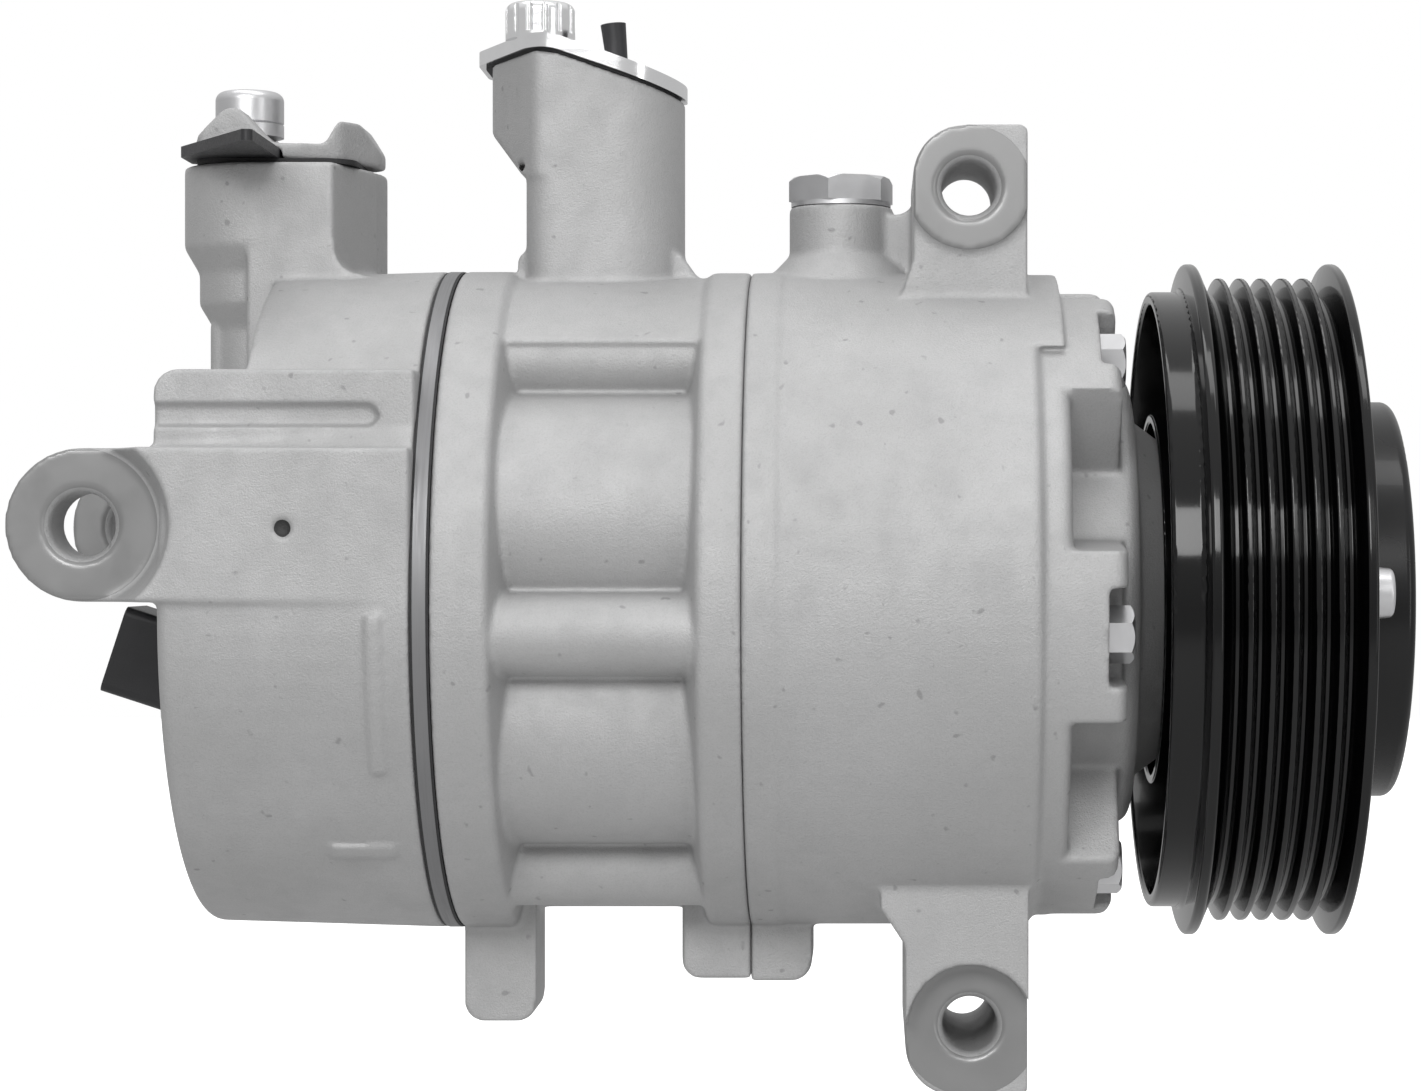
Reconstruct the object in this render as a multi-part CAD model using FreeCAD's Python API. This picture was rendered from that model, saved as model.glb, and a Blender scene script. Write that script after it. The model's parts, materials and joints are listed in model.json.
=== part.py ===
"""Automotive air-conditioning compressor: clutchless, six cylinders, variable displacement.

Units are millimetres. The origin lies on the shaft axis at the middle of the belt track.
+X runs along the shaft out of the nose, +Z is up and -Y is the side that carries the lug faces.
Angles around the shaft start at -Y and grow towards +Z.
"""
import FreeCAD
import Part
import math
import os

V = FreeCAD.Vector
ORIGIN = V(0, 0, 0)
ALONG_X = V(1, 0, 0)
ALONG_Y = V(0, 1, 0)
ALONG_Z = V(0, 0, 1)

# stack of the housing along the shaft
HEAD_X = -177.3
HEAD_STEP_X = -165.5
REAR_GASKET_X = -137.6
VALVE_PLATE_X = -137.2
SUCTION_DISC_X = -135.4
FRONT_GASKET_X = -135.1
BLOCK_X = -134.7
JOINT_X = -86.3
RIM_X = -81.0
STEP_X = -39.8
POCKET_EDGE_X = -34.0
POCKET_X = -37.0
BOLT_SEAT_X = -29.0
PAD_X = -25.9
NOSE_X = -22.6
SNOUT_X = -10.5
SNOUT_END_X = 12.5

# radii of the housing
BODY_R = 55.2
RIM_R = 55.5
FLANGE_R = 55.7
HEAD_REAR_R = 54.5
NECK_R = 53.7
NOSE_R = 38.1
SHOULDER_R = 25.0
SNOUT_R = 17.5
CAVITY_R = 50.0
CAVITY_FRONT_X = -40.0
CAVITY_REAR_X = -90.0

# through bolts, M6
BOLT_COUNT = 6
BOLT_CIRCLE_R = 48.0
BOLT_PHASE = -6.0
BOLT_R = 2.98
BOLT_HOLE_R = 3.3
BOLT_TAPPED_R = 3.0
BOLT_HEAD_AF = 8.0
BOLT_HEAD_H = 4.2
BOLT_END_X = -154.0
BOSS_R = 6.5
NOTCH_HALF = 7.75
PAD_HALF = 13.6

# cylinders and pistons
CYLINDER_PHASE = 24.0
CYLINDER_CIRCLE_R = 33.0
BORE_R = 14.5
PISTON_R = 14.45
BARREL_R = 20.0
CROWN_X = -133.2
PISTON_HEAD_LENGTH = 31.0
WINDOW_REAR_X = -125.7
WINDOW_FRONT_X = -93.3
CORE_R = 41.0
SADDLE_R = 54.6
SADDLE_Z = 41.8

# swash plate and shoes; the plate stands square to the shaft at least displacement
PLATE_X = -82.0
PLATE_T = 7.0
PLATE_R = 40.5
PLATE_HOLE_R = 10.9
SHOE_BALL_R = 9.0
SOCKET_GAP = 0.05
SHOE_GAP = 0.2
YOKE_SLOT_HALF = 6.6
YOKE_FLARE = 3.4
YOKE_ARM_X = 13.0
YOKE_BRIDGE_R = 41.5
TDC_ANGLE = CYLINDER_PHASE + 60.0

# shaft line
SHAFT_R = 8.0
SHAFT_REAR_X = -129.0
SHAFT_HUB_X = -6.0
SHAFT_HUB_R = 6.5
SHAFT_THREAD_X = 11.0
SHAFT_THREAD_R = 5.0
SHAFT_END_X = 19.5
RUNNING_FIT = 0.03

# pulley bearing, two rows of balls
BEARING_HALF = 10.0
BEARING_INNER_R = 20.6
BEARING_OUTER_IN_R = 24.4
BEARING_R = 27.5
BALL_R = 3.2
BALL_CIRCLE_R = 22.5
BALL_ROW_X = 4.6
BALLS_PER_ROW = 16

# pulley with six ribs of 3.56 mm pitch
RIB_PITCH = 3.56
GROOVE_COUNT = 6
RIDGE_R = 54.6
GROOVE_DEPTH = 3.0
RIDGE_HALF = 0.42
FLOOR_HALF = 0.34
FLANGE_TIP_R = 57.0
SKIRT_R = 52.3
PULLEY_REAR_X = -19.1
PULLEY_FRONT_X = 12.5
WEB_X = 4.5
WEB_FRONT_X = 11.0
RIM_INNER_R = 48.6
SEAT_WALL_R = 31.5
SEAT_LIP_X = -18.6
SEAT_LIP_R = 30.0

# hub with rubber damper
HUB_FACE_X = 22.0
HUB_R = 33.6
HUB_FLANGE_T = 2.2
RIVET_CIRCLE_R = 41.0
RIVET_PHASE = 2.0
RIVET_HEAD_R = 4.25

# mounting lugs, bores parallel to Y
LUG_BORE_R = 4.5
REAR_LUG_BORE_R = 5.1
BORE_CHAMFER = 1.2
LUG_FACE_Y = -25.0
UPPER_LUG = (-50.0, 67.7)
UPPER_LUG_BACK_Y = 7.0
LOWER_LUG = (-49.9, -69.4)
LOWER_LUG_BACK_Y = 25.0
REAR_LUG = (-190.1, 12.2)
REAR_LUG_R = 12.1
REAR_LUG_FACE_Y = -48.0
REAR_LUG_BACK_Y = -36.0
INNER_EAR_Y = -5.0
INNER_EAR_BACK_Y = 7.0
ARM_FACE_Y = -55.6
SPOT_FACE_R = 10.3
REAR_SPOT_FACE_R = 12.5

# oil plug
PLUG_X = -71.2
PLUG_BOSS_R = 8.8
PLUG_SEAT_Z = 66.8
PLUG_TOP_Z = 71.8
PLUG_AF = 16.0
PLUG_THREAD_R = 6.0

# muffler tower on the cylinder block; its lid is level at the rear and slopes down to the front
TOWER_TOP_Z = 92.0
BEND_X = -119.8
LID_SLOPE = 0.343
LID_GASKET_T = 0.5
LID_T = 2.4
KNOB_AT = (-122.3, -3.0)
KNOB_R = 5.9
KNOB_SHANK_R = 2.95
PIN_AT = (-108.9, -6.0)
PIN_LEAN = -6.0
PIN_R = 1.7

# port block on the rear head
PORT_TOP_Z = 73.3
PORT_SEAL_T = 0.8
PORT_AT = (-169.9, 0.0)
PORT_R = 13.2
CAP_AT = (-172.6, 2.0)
CAP_R = 5.8
CAP_SHANK_R = 3.0
CLAMP_SEAT_Z = 79.0

# displacement valve and its harness socket
VALVE_AT = (9.0, -13.2)
VALVE_BORE_R = 9.0
SOCKET_TILT = 18.0
SOCKET_MOUTH = (-195.67, -8.52)
SOCKET_HALF_Z = 7.55
SOCKET_HALF_Y = 9.0
SOCKET_WALL = 1.5


def polar(radius, degrees):
    """Y and Z of a point around the shaft, from -Y towards +Z."""
    a = math.radians(degrees)
    return -radius * math.cos(a), radius * math.sin(a)


def turned(shape, degrees):
    """A copy turned around the shaft, from -Y towards +Z."""
    copy = shape.copy()
    copy.rotate(ORIGIN, ALONG_X, -degrees)
    return copy


def rod_x(radius, x0, x1, y=0.0, z=0.0):
    return Part.makeCylinder(radius, x1 - x0, V(x0, y, z), ALONG_X)


def rod_y(radius, y0, y1, x, z):
    return Part.makeCylinder(radius, y1 - y0, V(x, y0, z), ALONG_Y)


def rod_z(radius, z0, z1, x, y):
    return Part.makeCylinder(radius, z1 - z0, V(x, y, z0), ALONG_Z)


def tube_x(outer, inner, x0, x1, y=0.0, z=0.0):
    return rod_x(outer, x0, x1, y, z).cut(rod_x(inner, x0 - 1, x1 + 1, y, z))


def box(x0, x1, y0, y1, z0, z1):
    return Part.makeBox(x1 - x0, y1 - y0, z1 - z0, V(x0, y0, z0))


def fused(shapes):
    """One solid from overlapping ones."""
    return shapes[0].multiFuse(shapes[1:]).removeSplitter()


def built_up(shapes):
    """One solid grown by one shape at a time."""
    body = shapes[0]
    for shape in shapes[1:]:
        body = body.fuse(shape)
    return body.removeSplitter()


def drilled(shape, tools):
    """The shape less the tools."""
    return shape.cut(tools)


def rounded_face(corners, place):
    """Flat face inside (u, v, radius) corners, each rounded by its radius."""
    bends = []
    count = len(corners)
    for i, (u, v, r) in enumerate(corners):
        here = V(u, v, 0)
        back = V(corners[i - 1][0], corners[i - 1][1], 0) - here
        ahead = V(corners[(i + 1) % count][0], corners[(i + 1) % count][1], 0) - here
        back.normalize()
        ahead.normalize()
        if r == 0:
            bends.append((here, None, here))
            continue
        half = back.getAngle(ahead) / 2
        inward = (back + ahead).normalize()
        centre = here + inward * (r / math.sin(half))
        reach = r / math.tan(half)
        bends.append((here + back * reach, centre - inward * r, here + ahead * reach))
    edges = []
    for i, (start, middle, end) in enumerate(bends):
        if middle is not None:
            arc = Part.Arc(place(start), place(middle), place(end))
            edges.append(arc.toShape())
        after = bends[(i + 1) % count][0]
        if end.distanceToPoint(after) > 1e-5:
            edges.append(Part.makeLine(place(end), place(after)))
    return Part.Face(Part.Wire(edges))


def ring_x(corners):
    """Solid turned around the shaft from (x, radius, rounding) corners."""
    face = rounded_face(corners, lambda p: V(p.x, 0, p.y))
    return face.revolve(ORIGIN, ALONG_X, 360)


def slab_x(corners, x0, x1):
    """Prism along X from (y, z, rounding) corners."""
    face = rounded_face(corners, lambda p: V(x0, p.x, p.y))
    return face.extrude(V(x1 - x0, 0, 0))


def slab_y(corners, y0, y1):
    """Prism along Y from (x, z, rounding) corners."""
    face = rounded_face(corners, lambda p: V(p.x, y0, p.y))
    return face.extrude(V(0, y1 - y0, 0))


def slab_z(corners, z0, z1):
    """Prism along Z from (x, y, rounding) corners."""
    face = rounded_face(corners, lambda p: V(p.x, p.y, z0))
    return face.extrude(V(0, 0, z1 - z0))


def rectangle(u0, u1, v0, v1, r):
    return [(u0, v0, r), (u1, v0, r), (u1, v1, r), (u0, v1, r)]


def hexagon(across_flats, turn):
    """Corners of a hexagon with its first corner turned from the v axis."""
    reach = across_flats / math.sqrt(3)
    corners = []
    for k in range(6):
        a = math.radians(turn + 60 * k)
        corners.append((reach * math.sin(a), -reach * math.cos(a), 0))
    return corners


def hex_x(across_flats, x0, x1, y, z, turn=0.0):
    """Hexagonal head along X with its front corners eased."""
    head = slab_x(hexagon(across_flats, turn), x0, x1)
    reach = across_flats / math.sqrt(3)
    ease = ring_x([(x0 - 1, 0, 0), (x0 - 1, reach + 1, 0), (x1 - 0.9, reach + 0.35, 0),
                   (x1, reach - 0.75, 0), (x1, 0, 0)])
    head = head.common(ease)
    head.translate(V(0, y, z))
    return head


def around(shape, count, phase):
    """Copies of a shape that was drawn at angle zero."""
    return [turned(shape, phase + 360.0 / count * k) for k in range(count)]


def bolt_holes(radius, x0, x1):
    hole = rod_x(radius, x0, x1, -BOLT_CIRCLE_R, 0)
    return around(hole, BOLT_COUNT, BOLT_PHASE)


def cross_bore(radius, x, z, y0, y1):
    """Tools for a bore parallel to Y with a chamfer at each face."""
    wide = radius + BORE_CHAMFER
    front = Part.makeCone(wide, radius, BORE_CHAMFER, V(x, y0, z), ALONG_Y)
    back = Part.makeCone(radius, wide, BORE_CHAMFER, V(x, y1 - BORE_CHAMFER, z), ALONG_Y)
    return [rod_y(radius, y0 - 5, y1 + 5, x, z), front, back]


# ---------------------------------------------------------------- castings

def lug(centre, half_left, half_right, tip, flare, y0, y1):
    """Lug that stands up (tip > 0) or hangs down from the front housing."""
    x, z = centre
    left = x - half_left
    right = x + half_right
    end = z + tip
    sign = 1 if tip > 0 else -1
    return slab_y([(left - flare, 44 * sign, 0), (left - flare, 50 * sign, 0),
                   (left, 56 * sign, 4), (left, end, 8.5), (right, end, 1),
                   (right, 44 * sign, 0)], y0, y1)


def spot_face(centre, toward_tip, y0, y1):
    """Milled seat round a lug bore, open towards the tip of the lug."""
    x, z = centre
    low, high = sorted((z, z + toward_tip))
    return fused([rod_y(SPOT_FACE_R, y0, y1, x, z), box(x - 14, x + 14, y0, y1, low, high)])


def front_housing():
    outer = ring_x([(JOINT_X, 0, 0), (JOINT_X, RIM_R, 0.4), (RIM_X, RIM_R, 0.1), (RIM_X, BODY_R, 0),
                    (STEP_X, BODY_R, 0.8), (STEP_X + 1.0, NECK_R, 0), (POCKET_EDGE_X, NECK_R, 2),
                    (POCKET_X, NOSE_R, 2), (NOSE_X, NOSE_R, 2.5), (NOSE_X, SHOULDER_R + 6, 0),
                    (-14.5, SHOULDER_R, 4), (SNOUT_X, 21, 0.5), (SNOUT_X, SNOUT_R, 0),
                    (SNOUT_END_X, SNOUT_R, 0.6), (SNOUT_END_X, 0, 0)])
    brow = rod_x(BODY_R, STEP_X - 1, STEP_X + 4.8).common(box(-45, -30, -45, 45, 41, 60))
    pad_limit = ring_x([(-60, 0, 0), (-60, NECK_R, 0), (PAD_X, NECK_R, 2.2), (PAD_X, 0, 0)])
    pad_bar = slab_x(rectangle(-60, -30, -PAD_HALF, PAD_HALF, 2), -44, PAD_X)
    pads = [bar.common(pad_limit) for bar in around(pad_bar, BOLT_COUNT, BOLT_PHASE)]
    upper_neck = lug(UPPER_LUG, 9.2, 9.6, 10.3, 2.0, LUG_FACE_Y + 1, UPPER_LUG_BACK_Y)
    upper_seat = upper_neck.copy()
    upper_seat.translate(V(0, -1, 0))
    upper_seat = upper_seat.common(spot_face(UPPER_LUG, 12, LUG_FACE_Y - 1, LUG_FACE_Y + 3))
    lower = lug(LOWER_LUG, 10.6, 9.4, -11.8, 4.0, LUG_FACE_Y - 5, LOWER_LUG_BACK_Y)
    lower = lower.cut(spot_face(LOWER_LUG, -14, LUG_FACE_Y - 8, LUG_FACE_Y))
    boss = rod_z(PLUG_BOSS_R, 44, PLUG_SEAT_Z, PLUG_X, 0)
    foot = Part.makeCone(15.5, PLUG_BOSS_R, 7, V(PLUG_X, 0, 51.5), ALONG_Z)
    web = slab_y([(-72, 44, 0), (-72, 66.0, 0), (-61, 65.2, 3), (-57, 68, 0), (-57, 44, 0)], -5, 5)
    split_boss = slab_y([(JOINT_X, -44, 0), (JOINT_X, -64.2, 0.4), (-76.0, -64.2, 3.5),
                         (-76.0, -44, 0)], -9, 9)
    body = fused([outer, brow, upper_neck, upper_seat, lower, boss, foot, web, split_boss] + pads)
    notch = slab_x(rectangle(-60, -40.6, -NOTCH_HALF, NOTCH_HALF, 1.2), BOLT_SEAT_X, PAD_X + 1)
    cavity = rod_x(CAVITY_R, JOINT_X - 1, CAVITY_FRONT_X)
    bosses = [rod_x(BOSS_R, JOINT_X - 2, CAVITY_FRONT_X + 1, *polar(BOLT_CIRCLE_R, a))
              for a in bolt_angles()]
    tools = around(notch, BOLT_COUNT, BOLT_PHASE)
    tools.append(cavity.cut(bosses))
    tools.append(rod_x(13.0, CAVITY_FRONT_X - 1, -24.0))
    tools.append(rod_x(11.0, -25.0, SNOUT_X))
    tools.append(rod_x(13.5, SNOUT_X - 6, SNOUT_END_X + 1))
    tools.append(rod_z(PLUG_THREAD_R, 40, PLUG_SEAT_Z + 1, PLUG_X, 0))
    tools.append(tube_x(SNOUT_R + 1, SNOUT_R - 1.2, 10.15, 11.45))
    tools += bolt_holes(BOLT_HOLE_R, JOINT_X - 1, PAD_X + 1)
    tools += cross_bore(LUG_BORE_R, *UPPER_LUG, LUG_FACE_Y, UPPER_LUG_BACK_Y)
    tools += cross_bore(LUG_BORE_R, *LOWER_LUG, LUG_FACE_Y, LOWER_LUG_BACK_Y)
    return drilled(body, tools)


def bolt_angles():
    return [BOLT_PHASE + 60.0 * k for k in range(BOLT_COUNT)]


def cylinder_angles():
    return [CYLINDER_PHASE + 60.0 * k for k in range(6)]


def lid_layer(z0, z1):
    """Layer between two heights over the tower top, level at the rear and bent down to the front."""
    end_x = -85.0
    drop = LID_SLOPE * (end_x - BEND_X)
    low = TOWER_TOP_Z + z0
    high = TOWER_TOP_Z + z1
    return slab_y([(-150, low, 0), (BEND_X, low, 12), (end_x, low - drop, 0),
                   (end_x, high - drop, 0), (BEND_X, high, 12), (-150, high, 0)], -30, 50)


def tower_solid():
    """Outside of the muffler tower: a rounded box, a bulge behind its screw and a foot."""
    main = slab_z([(-124.2, -12.5, 5), (-97.9, -12.5, 11.5), (-97.9, 12.5, 11.5),
                   (-124.2, 12.5, 5)], 50.5, 110)
    plan = slab_z([(-122.5, -12.5, 3), (-131.5, 6, 4), (-131.5, 24, 4), (-120, 28, 4),
                   (-112, 12.4, 0), (-116, -12.4, 0)], 60, 110)
    under = slab_y([(-140, 91.3, 0), (-124.5, 71, 3), (-100, 71, 0), (-100, 110, 0),
                    (-140, 110, 0)], -30, 50)
    foot = slab_y([(-125.5, 50.5, 0), (-125.5, 58, 1), (-120, 59.5, 0), (-120, 50.5, 0)], -9, 9)
    toe = slab_y([(-102, 50.5, 0), (-102, 60, 0), (-97.9, 58, 1), (-95.2, 54.2, 0),
                  (-95.2, 50.5, 0)], -7, 7)
    solid = fused([main, plan.common(under), foot, toe])
    return solid.common(lid_layer(-60, 0))


def muffler_tower():
    hollow = slab_z([(-116.5, -8.5, 2), (-101.9, -8.5, 7.5), (-101.9, 8.5, 7.5),
                     (-116.5, 8.5, 2)], 56.5, 110)
    screw_hole = rod_z(KNOB_SHANK_R + 0.03, 80, 110, *KNOB_AT)
    weep_hole = rod_y(0.75, -15, -2, -125.0, 73.2)
    return drilled(tower_solid(), [hollow, screw_hole, weep_hole])


def cylinder_block():
    rear_flange = ring_x([(BLOCK_X, 0, 0), (BLOCK_X, FLANGE_R, 0.4), (WINDOW_REAR_X, FLANGE_R, 1.5),
                          (WINDOW_REAR_X + 2.6, CORE_R + 5, 4), (WINDOW_REAR_X + 9, CORE_R - 4, 0),
                          (WINDOW_REAR_X + 9, 0, 0)])
    front_flange = ring_x([(JOINT_X, 0, 0), (JOINT_X, RIM_R, 0.4), (WINDOW_FRONT_X, RIM_R, 1.5),
                           (WINDOW_FRONT_X - 2.6, CORE_R + 5, 4), (WINDOW_FRONT_X - 9, CORE_R - 4, 0),
                           (WINDOW_FRONT_X - 9, 0, 0)])
    pieces = [rear_flange, front_flange, rod_x(CORE_R, BLOCK_X, JOINT_X)]
    for angle in cylinder_angles():
        y, z = polar(CYLINDER_CIRCLE_R, angle)
        pieces.append(rod_x(BARREL_R, BLOCK_X + 1, JOINT_X - 1, y, z))
    for angle in bolt_angles():
        y, z = polar(BOLT_CIRCLE_R, angle)
        pieces.append(rod_x(BOSS_R, BLOCK_X + 1, JOINT_X - 1, y, z))
    saddle = rod_x(SADDLE_R, WINDOW_REAR_X - 1, WINDOW_FRONT_X + 1)
    pieces.append(saddle.common(box(-130, -90, -37, 37, SADDLE_Z, 60)))
    pieces.append(slab_y([(-134.6, -46, 0), (-134.6, -71.1, 3.2), (-122.5, -71.1, 3.2),
                          (-122.5, -46, 0)], -8, 8))
    pieces.append(slab_y([(JOINT_X, -44, 0), (JOINT_X, -63.8, 0.4), (-97.9, -63.8, 3.2),
                          (-97.9, -44, 0)], -9, 9))
    block = fused(pieces)
    cavity = rod_x(CAVITY_R, CAVITY_REAR_X, JOINT_X + 1)
    bosses = [rod_x(BOSS_R, CAVITY_REAR_X - 1, JOINT_X + 2, *polar(BOLT_CIRCLE_R, a))
              for a in bolt_angles()]
    tools = [cavity.cut(bosses)]
    for angle in cylinder_angles():
        y, z = polar(CYLINDER_CIRCLE_R, angle)
        tools.append(rod_x(BORE_R, BLOCK_X - 1, CAVITY_REAR_X + 1, y, z))
    tools.append(rod_x(12.0, BLOCK_X - 1, -108.0))
    tools.append(rod_x(SHAFT_R + 1.0, -109.0, CAVITY_REAR_X + 1))
    tools += bolt_holes(BOLT_HOLE_R, BLOCK_X - 1, JOINT_X + 1)
    tools.append(tower_solid())
    return drilled(block, tools)


def rear_lug_arm():
    """Arm along the near side of the head; its end is turned down to a seat round the eye."""
    arm = slab_y([(-190.1, 0.1, 0), (REAR_GASKET_X, 0.1, 0), (REAR_GASKET_X, 24.1, 0),
                  (-190.1, 24.3, 0)], ARM_FACE_Y, -33)
    x, z = REAR_LUG
    depth = REAR_LUG_FACE_Y - ARM_FACE_Y
    shoulder = Part.makeCone(REAR_SPOT_FACE_R + 2.8, REAR_SPOT_FACE_R, depth,
                             V(x, ARM_FACE_Y, z), ALONG_Y)
    behind = rod_y(13.0, REAR_LUG_BACK_Y, 0, x, z)
    return arm.cut([shoulder, behind])


def port_boss():
    """Round boss on a stepped neck, grown together with a broad flat-faced body."""
    x, y = PORT_AT
    near = y + 0.15 - PORT_R
    return [rod_z(PORT_R, 59.6, PORT_TOP_Z, x, y),
            Part.makeCone(10.7, PORT_R, 4.3, V(x, y, 55.3), ALONG_Z),
            rod_z(10.7, 50.0, 55.3, x, y),
            Part.makeCone(8.2, 10.7, 4.2, V(x, y, 45.8), ALONG_Z),
            rod_z(8.2, 25.0, 45.8, x, y),
            rod_z(1.5, 30.0, 46.5, -176.7, -4.0),
            Part.makeCone(1.5, 0.3, 2.0, V(-176.7, -4.0, 46.5), ALONG_Z),
            rod_z(14.4, 30.0, PORT_TOP_Z, -164.5, 9.0),
            slab_z([(x - 0.6, near, 0), (-156.1, near, 0.4), (-151.0, 2, 3), (-152, 10, 0),
                    (x, 13, 0)], 30.0, PORT_TOP_Z),
            slab_y([(-158, 40, 0), (-158, 60, 0), (-155.6, 60, 0), (-155.6, 55.5, 4),
                    (-147, 53.4, 0), (-147, 40, 0)], near, 8.5)]


def rear_head():
    outer = ring_x([(REAR_GASKET_X, 0, 0), (REAR_GASKET_X, FLANGE_R, 0.4),
                    (HEAD_X, HEAD_REAR_R, 2.2), (HEAD_X, 0, 0)])
    outer = outer.cut(box(HEAD_X - 5, HEAD_STEP_X, -60, 60, 36.5, 60))
    eye = rod_y(REAR_LUG_R, REAR_LUG_FACE_Y, REAR_LUG_BACK_Y, *REAR_LUG)
    inner_eye = rod_y(11.4, INNER_EAR_Y, INNER_EAR_BACK_Y, *REAR_LUG)
    inner_bridge = box(-190.1, HEAD_X + 1, INNER_EAR_Y, INNER_EAR_BACK_Y, 0.8, 23.6)
    upper_block = slab_y([(-178.8, 20, 0), (REAR_GASKET_X, 20, 0), (REAR_GASKET_X, 36.7, 0),
                          (-178.8, 36.7, 4)], -48.5, -20)
    ridge = rod_x(56.2, -152.3, -142.3).cut(rod_x(54, -160, -140))
    ridges = [ridge.common(box(-144.3, -142.3, -60, -30, -27, -2)),
              ridge.common(box(-152.3, -142.3, -60, -30, -41, -39))]
    body = built_up([outer, rear_lug_arm(), eye, inner_eye, inner_bridge, upper_block]
                    + ridges + port_boss())
    groove = slab_y([(-185, 27.6, 0), (-144.6, 27.6, 0), (-143, 29.4, 0), (-144.6, 31.2, 0),
                     (-185, 31.2, 0)], -60, -47.4)
    core = rod_x(24.0, -172.0, REAR_GASKET_X + 1)
    outer_ring = tube_x(46.5, 29.0, -161.5, REAR_GASKET_X + 1)
    pillars = [rod_x(BOSS_R + 0.8, -175, REAR_GASKET_X + 2, *polar(BOLT_CIRCLE_R, a))
               for a in bolt_angles()]
    tools = [groove, core, outer_ring.cut(pillars)]
    tools += bolt_holes(BOLT_TAPPED_R, BOLT_END_X - 2, REAR_GASKET_X + 1)
    tools += cross_bore(REAR_LUG_BORE_R, *REAR_LUG, REAR_LUG_FACE_Y, REAR_LUG_BACK_Y)
    tools += cross_bore(REAR_LUG_BORE_R, *REAR_LUG, INNER_EAR_Y, INNER_EAR_BACK_Y)
    tools.append(rod_z(6.5, 50, PORT_TOP_Z + 1, -161.5, -4.5))
    tools.append(rod_z(6.0, 50, PORT_TOP_Z + 1, -160.5, 13.0))
    tools.append(rod_z(CAP_SHANK_R + 0.03, 62, PORT_TOP_Z + 1, *CAP_AT))
    tools.append(rod_y(1.6, -60, ARM_FACE_Y + 0.9, -157.3, 11.6))
    tools.append(rod_x(VALVE_BORE_R, HEAD_X - 5, -158.0, *VALVE_AT))
    return drilled(body, tools)


# ---------------------------------------------------------------- sealing stack

def stack_disc(x0, x1, radius):
    """Round plate of the stack with holes for the six bolts and the shaft bore."""
    disc = rod_x(radius, x0, x1)
    return drilled(disc, bolt_holes(BOLT_HOLE_R, x0 - 1, x1 + 1) + [rod_x(5.0, x0 - 1, x1 + 1)])


def ports(x0, x1, radius, circle):
    hole = rod_x(radius, x0 - 1, x1 + 1, -circle, 0)
    return around(hole, 6, CYLINDER_PHASE)


def valve_plate():
    disc = stack_disc(VALVE_PLATE_X, SUCTION_DISC_X, FLANGE_R)
    inner = ports(VALVE_PLATE_X, SUCTION_DISC_X, 3.2, 22.5)
    outer = ports(VALVE_PLATE_X, SUCTION_DISC_X, 4.2, 38.0)
    return drilled(disc, inner + outer)


def front_gasket():
    disc = stack_disc(FRONT_GASKET_X, BLOCK_X, FLANGE_R - 0.1)
    return drilled(disc, ports(FRONT_GASKET_X, BLOCK_X, BORE_R, CYLINDER_CIRCLE_R))


def rear_gasket():
    """Ring round the discharge reeds with a hole at every suction port."""
    disc = stack_disc(REAR_GASKET_X, VALVE_PLATE_X, FLANGE_R - 0.1)
    middle = rod_x(25.0, REAR_GASKET_X - 1, VALVE_PLATE_X + 1)
    return drilled(disc, ports(REAR_GASKET_X, VALVE_PLATE_X, 5.0, 38.0) + [middle])


def suction_valve_disc():
    disc = stack_disc(SUCTION_DISC_X, FRONT_GASKET_X, FLANGE_R)
    inner = ports(SUCTION_DISC_X, FRONT_GASKET_X, 3.2, 22.5)
    slot = tube_x(6.4, 5.6, SUCTION_DISC_X - 1, FRONT_GASKET_X + 1, -38.0, 0)
    slot = slot.cut(box(-140, -130, -38, -28, -3.2, 3.2))
    return drilled(disc, inner + around(slot, 6, CYLINDER_PHASE))


def petals(x0, x1, reach, width):
    """Star of six leaves around a central disc."""
    leaf = slab_x(rectangle(-reach, -6, -width, width, min(width, 4) - 0.1), x0, x1)
    star = fused([rod_x(12.0, x0, x1)] + around(leaf, 6, CYLINDER_PHASE))
    return star.cut(rod_x(3.1, x0 - 1, x1 + 1))


def reed_rivet():
    shank = rod_x(3.0, -139.6, VALVE_PLATE_X + 2.4)
    head = ring_x([(-141.4, 0, 0), (-141.4, 4.6, 1.0), (-139.4, 5.4, 0), (-139.4, 0, 0)])
    return fused([shank, head])


# ---------------------------------------------------------------- fasteners and fittings

def through_bolts():
    shank = rod_x(BOLT_R, BOLT_END_X, BOLT_SEAT_X, 0, 0)
    head = hex_x(BOLT_HEAD_AF, BOLT_SEAT_X, BOLT_SEAT_X + BOLT_HEAD_H, 0, 0, 0)
    bolt = fused([shank, head])
    bolt.translate(V(0, -BOLT_CIRCLE_R, 0))
    return Part.makeCompound(around(bolt, BOLT_COUNT, BOLT_PHASE))


def oil_plug():
    head = slab_z(hexagon(PLUG_AF, -12.9), PLUG_SEAT_Z + 0.8, PLUG_TOP_Z)
    reach = PLUG_AF / math.sqrt(3)
    cap = Part.makeCone(reach + 0.2, reach - 1.0, 1.0, V(0, 0, PLUG_TOP_Z - 1.0), ALONG_Z)
    base = Part.makeCylinder(reach + 1, PLUG_TOP_Z - 41, V(0, 0, 40), ALONG_Z)
    head = head.common(fused([cap, base]))
    stem = rod_z(PLUG_THREAD_R - 0.02, 52, PLUG_SEAT_Z + 1, 0, 0)
    plug = fused([head, stem])
    plug.translate(V(PLUG_X, 0, 0))
    return plug


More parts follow.
